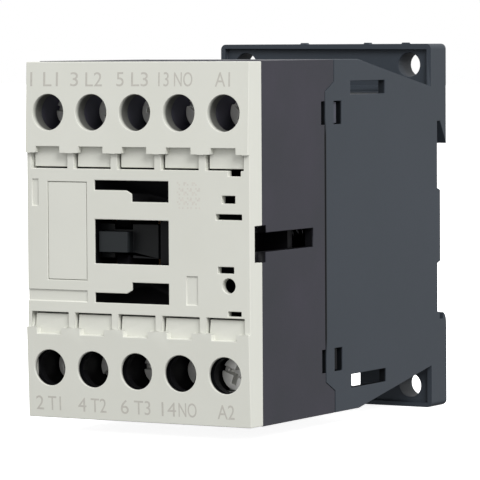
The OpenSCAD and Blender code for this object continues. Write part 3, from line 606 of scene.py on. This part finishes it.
class RELAY_OT_contacts(bpy.types.Operator):
    """Makes the fixed contacts, the moving bridges and their tips"""

    bl_idname = "relay.contacts"
    bl_label = "Contacts"

    def execute(self, context):
        edge = context.scene.relay_plastic.edge
        for terminal in UPPER_ROW[:4] + LOWER_ROW[:4]:
            moulded("fixed_contact_" + terminal, "contact_strip_" + terminal, [(everywhere, edge)])
        for terminal in ("a1", "a2"):
            moulded("coil_terminal_" + terminal, "coil_blade_" + terminal, [(everywhere, edge)])
        moulded("fixed_contact_tips", "fixed_tips", [(everywhere, edge)])
        for pole in POLES:
            moulded("bridge_" + pole, "contact_bridge_" + pole, [(everywhere, edge)])
            moulded("bridge_tips_" + pole, "contact_bridge_tips_" + pole, [(everywhere, edge)])
        return {"FINISHED"}


class RELAY_OT_springs(bpy.types.Operator):
    """Makes the return springs, the contact springs and the rail latch's spring"""

    bl_idname = "relay.springs"
    bl_label = "Springs"

    def execute(self, context):
        for side in ("left", "right"):
            node = "return_spring_" + side
            low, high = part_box(node)
            x, z = (low.x + high.x) / 2, (low.z + high.z) / 2
            spring = wire_spring("return_coil_" + side, node, (x, low.y, z), (0, 1, 0), high.y - low.y,
                                 (high.z - low.z) / 2, RETURN_WIRE, 8)
            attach(spring, "housing")
            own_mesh(spring)
        for pole in POLES:
            node = "contact_spring_" + pole
            low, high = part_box(node)
            x, z = (low.x + high.x) / 2, (low.z + high.z) / 2
            spring = wire_spring("contact_coil_" + pole, node, (x, low.y, z), (0, 1, 0), high.y - low.y,
                                 (high.z - low.z) / 2, THIN_WIRE, 6)
            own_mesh(spring)
        low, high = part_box("din_latch_spring")
        x, y = (low.x + high.x) / 2, (low.y + high.y) / 2
        spring = wire_spring("rail_latch_coil", "din_latch_spring", (x, y, low.z), (0, 0, 1), high.z - low.z,
                             (high.x - low.x) / 2, THIN_WIRE, 6)
        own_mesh(spring)
        return {"FINISHED"}


class RELAY_OT_magnet(bpy.types.Operator):
    """Makes the core, the armature, the coil and what holds them"""

    bl_idname = "relay.magnet"
    bl_label = "Magnet and Coil"

    def execute(self, context):
        edge = context.scene.relay_plastic.edge
        names = {
            "fixed_core": "core_laminations", "armature": "armature_laminations",
            "armature_pin": "armature_cross_pin",
            "shading_rings": "shading_ring_pair", "core_pad": "core_rubber_pad", "coil_bobbin": "coil_former",
            "coil_winding": "coil_wire",
        }
        for node, name in names.items():
            moulded(node, name, [(everywhere, edge)])
        return {"FINISHED"}


def bank_front(z):
    """Front of the terminal bank at a height, from the cover's own vertices."""
    low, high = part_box("front_cover")
    return low.y + BANK_RISE * (abs(z) - BANK_START) / (high.z - BANK_START)


def printed(text, left, right, z, look):
    """One printed word, squeezed between left and right on a terminal bank."""
    curve = bpy.data.curves.new("mark", "FONT")
    curve.body = text
    curve.extrude = 0.001
    letter = bpy.data.objects.new("mark", curve)
    bpy.context.scene.collection.objects.link(letter)
    bpy.context.view_layer.update()
    mesh = bpy.data.meshes.new_from_object(letter.evaluated_get(bpy.context.evaluated_depsgraph_get()))
    bpy.data.objects.remove(letter)
    bpy.data.curves.remove(curve)
    xs = [v.co.x for v in mesh.vertices]
    ys = [v.co.y for v in mesh.vertices]
    slope = math.copysign(math.atan2(BANK_RISE, BANK_SPAN), z)
    tilt = Matrix.Rotation(math.radians(90) - slope, 4, "X")
    size = Matrix.Diagonal(((right - left) / (max(xs) - min(xs)), look.height / (max(ys) - min(ys)),
                            look.thickness / 0.002, 1))
    centre = Matrix.Translation((-(max(xs) + min(xs)) / 2, -(max(ys) + min(ys)) / 2, 0))
    place = Matrix.Translation(((left + right) / 2, bank_front(z) - look.thickness * 0.3, z))
    mesh.transform(place @ tilt @ size @ centre)
    return mesh


# Left and right end of each printed word, measured from its terminal's axis in millimetres
WORDS_ABOVE = {
    "l1": (("1", -3.7, -3.3), ("L1", -1.0, 2.05)), "l2": (("3", -4.25, -2.65), ("L2", -1.15, 2.25)),
    "l3": (("5", -3.7, -2.2), ("L3", -0.7, 2.7)), "13": (("13", -4.1, -2.0), ("NO", -0.95, 2.7)),
    "a1": (("A1", -1.7, 1.25),),
}
WORDS_BELOW = {
    "t1": (("2", -3.05, -1.45), ("T1", -0.55, 2.1)), "t2": (("4", -3.2, -1.5), ("T2", -0.6, 2.6)),
    "t3": (("6", -3.3, -1.7), ("T3", -0.6, 2.7)), "14": (("14", -3.9, -1.0), ("NO", -0.5, 3.1)),
    "a2": (("A2", -1.6, 1.75),),
}


def print_row(name, words, z, ink, look):
    """Prints one row of words, each beside its own terminal."""
    bm = bmesh.new()
    for terminal, row in words.items():
        low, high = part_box("screw_" + terminal)
        x = (low.x + high.x) / 2
        for text, left, right in row:
            mesh = printed(text, x + left * MM, x + right * MM, z, look)
            bm.from_mesh(mesh)
            bpy.data.meshes.remove(mesh)
    place_print(finished_object(bm, name), ink)


def place_print(piece, ink):
    """Lets a printed piece ride on the housing in its ink."""
    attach(piece, "housing")
    dress(piece, ink)


class RELAY_OT_marks(bpy.types.Operator):
    """Prints the standard terminal numbers on the two banks and a plain dot code beside the windows"""

    bl_idname = "relay.marks"
    bl_label = "Terminal Numbers"

    def execute(self, context):
        look = context.scene.relay_marks
        ink = ink_material("Ink", 1.0)
        print_row("terminal_numbers_upper", WORDS_ABOVE, look.upper, ink, look)
        print_row("terminal_numbers_lower", WORDS_BELOW, -look.lower, ink, look)
        self.dot_code(look, ink_material("Pale ink", 1.25))
        return {"FINISHED"}

    def dot_code(self, look, ink):
        """A square of fine dots laid by a plain rule, which says nothing."""
        count, dot = 14, 0.33 * MM
        left, top = 8.15 * MM, 10.6 * MM
        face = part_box("front_cover")[0].y + FACE_BEHIND
        bm = bmesh.new()
        for row in range(count):
            for column in range(count):
                if (row * row + 3 * column + row * column) % 5 in (0, 2):
                    centre = Matrix.Translation((left + (column + 0.5) * dot, face, top - (row + 0.5) * dot))
                    size = Matrix.Diagonal((dot * 0.98, look.thickness, dot * 0.98, 1))
                    bmesh.ops.create_cube(bm, size=1.0, matrix=centre @ size)
        place_print(finished_object(bm, "dot_code"), ink)


class RELAY_OT_stage(bpy.types.Operator):
    """Sets up the camera, the pale floor and the studio light"""

    bl_idname = "relay.stage"
    bl_label = "Stage"

    def execute(self, context):
        look = context.scene.relay_stage
        scene = context.scene
        scene.view_settings.view_transform = "Standard"
        camera = bpy.data.objects.new("camera", bpy.data.cameras.new("camera"))
        scene.collection.objects.link(camera)
        camera.data.lens = look.lens
        camera.data.sensor_width = 36.0
        camera.data.clip_start = 0.01
        camera.data.clip_end = 10.0
        pitch, roll, yaw = look.turn
        camera.matrix_world = (
            Matrix.Translation(look.place) @ Matrix.Rotation(yaw, 4, "Z")
            @ Matrix.Rotation(math.radians(90) - pitch, 4, "X") @ Matrix.Rotation(roll, 4, "Z")
        )
        scene.camera = camera
        self.lay_floor(look)
        self.light(context, look)
        return {"FINISHED"}

    def lay_floor(self, look):
        """A wide pale floor under the object."""
        bm = bmesh.new()
        bmesh.ops.create_grid(bm, x_segments=1, y_segments=1, size=4.0)
        floor = finished_object(bm, "floor")
        floor.location.z = CAD_BOX[0].z - look.floor
        material, tree, shader, place = start_material("Pale floor", 0.7, specular=0.2)
        tone = tuple(look.floor_colour)
        tree.links.new(between(tree, mottle(tree, place, 0.1), scaled(tone, (0.99,) * 3), tone),
                       shader.inputs["Base Color"])
        shader.inputs["Emission Color"].default_value = (1, 1, 1, 1)
        shader.inputs["Emission Strength"].default_value = 0.9
        dress(floor, material)
        floor.visible_diffuse = False
        floor.visible_glossy = False

    def light(self, context, look):
        """Even light from all round and a broad key light from the front right."""
        world = bpy.data.worlds.new("Studio")
        context.scene.world = world
        world.use_nodes = True
        tree = world.node_tree
        split = node_of(tree, "ShaderNodeSeparateXYZ")
        tree.links.new(node_of(tree, "ShaderNodeTexCoord").outputs["Generated"], split.inputs["Vector"])
        background = tree.nodes["Background"]
        background.inputs["Color"].default_value = (1, 1, 1, 1)
        tree.links.new(fade(tree, split.outputs["Z"], -0.35, -0.03, 0.2 * look.sky, look.sky),
                       background.inputs["Strength"])
        lamp = bpy.data.lights.new("key", "AREA")
        lamp.energy = look.key
        lamp.size = 0.5
        key = bpy.data.objects.new("key", lamp)
        context.scene.collection.objects.link(key)
        key.location = (0.74, -0.59, 0.73)
        key.rotation_mode = "QUATERNION"
        key.rotation_quaternion = (-key.location).to_track_quat("-Z", "Y")


class RELAY_PT_panel(bpy.types.Panel):
    """Lists the relay's settings and its makers"""

    bl_idname = "RELAY_PT_panel"
    bl_label = "Control Relay"
    bl_space_type = "VIEW_3D"
    bl_region_type = "UI"
    bl_category = "Relay"

    def draw(self, context):
        for group in SETTINGS:
            box = self.layout.box()
            owner = getattr(context.scene, group)
            for name in owner.bl_rna.properties.keys():
                if name not in ("rna_type", "name"):
                    box.prop(owner, name)
        for maker in MAKERS:
            self.layout.operator(maker.bl_idname)


SETTINGS = {
    "relay_plastic": RelayPlasticSettings,
    "relay_metal": RelayMetalSettings,
    "relay_marks": RelayMarkSettings,
    "relay_stage": RelayStageSettings,
}
MAKERS = (
    RELAY_OT_stage,
    RELAY_OT_front_cover,
    RELAY_OT_housings,
    RELAY_OT_carrier,
    RELAY_OT_terminals,
    RELAY_OT_contacts,
    RELAY_OT_springs,
    RELAY_OT_magnet,
    RELAY_OT_marks,
)


def register():
    """Registers the settings, the makers and the panel."""
    for name, group in SETTINGS.items():
        bpy.utils.register_class(group)
        setattr(bpy.types.Scene, name, bpy.props.PointerProperty(type=group))
    for maker in MAKERS + (RELAY_PT_panel,):
        bpy.utils.register_class(maker)


def unregister():
    """Takes everything back out."""
    for maker in reversed(MAKERS + (RELAY_PT_panel,)):
        bpy.utils.unregister_class(maker)
    for name, group in SETTINGS.items():
        delattr(bpy.types.Scene, name)
        bpy.utils.unregister_class(group)


def main():
    """Registers the settings and makers, then builds every piece."""
    register()
    for maker in MAKERS:
        area, tool = maker.bl_idname.split(".")
        getattr(getattr(bpy.ops, area), tool)()


if __name__ == "__main__":
    main()
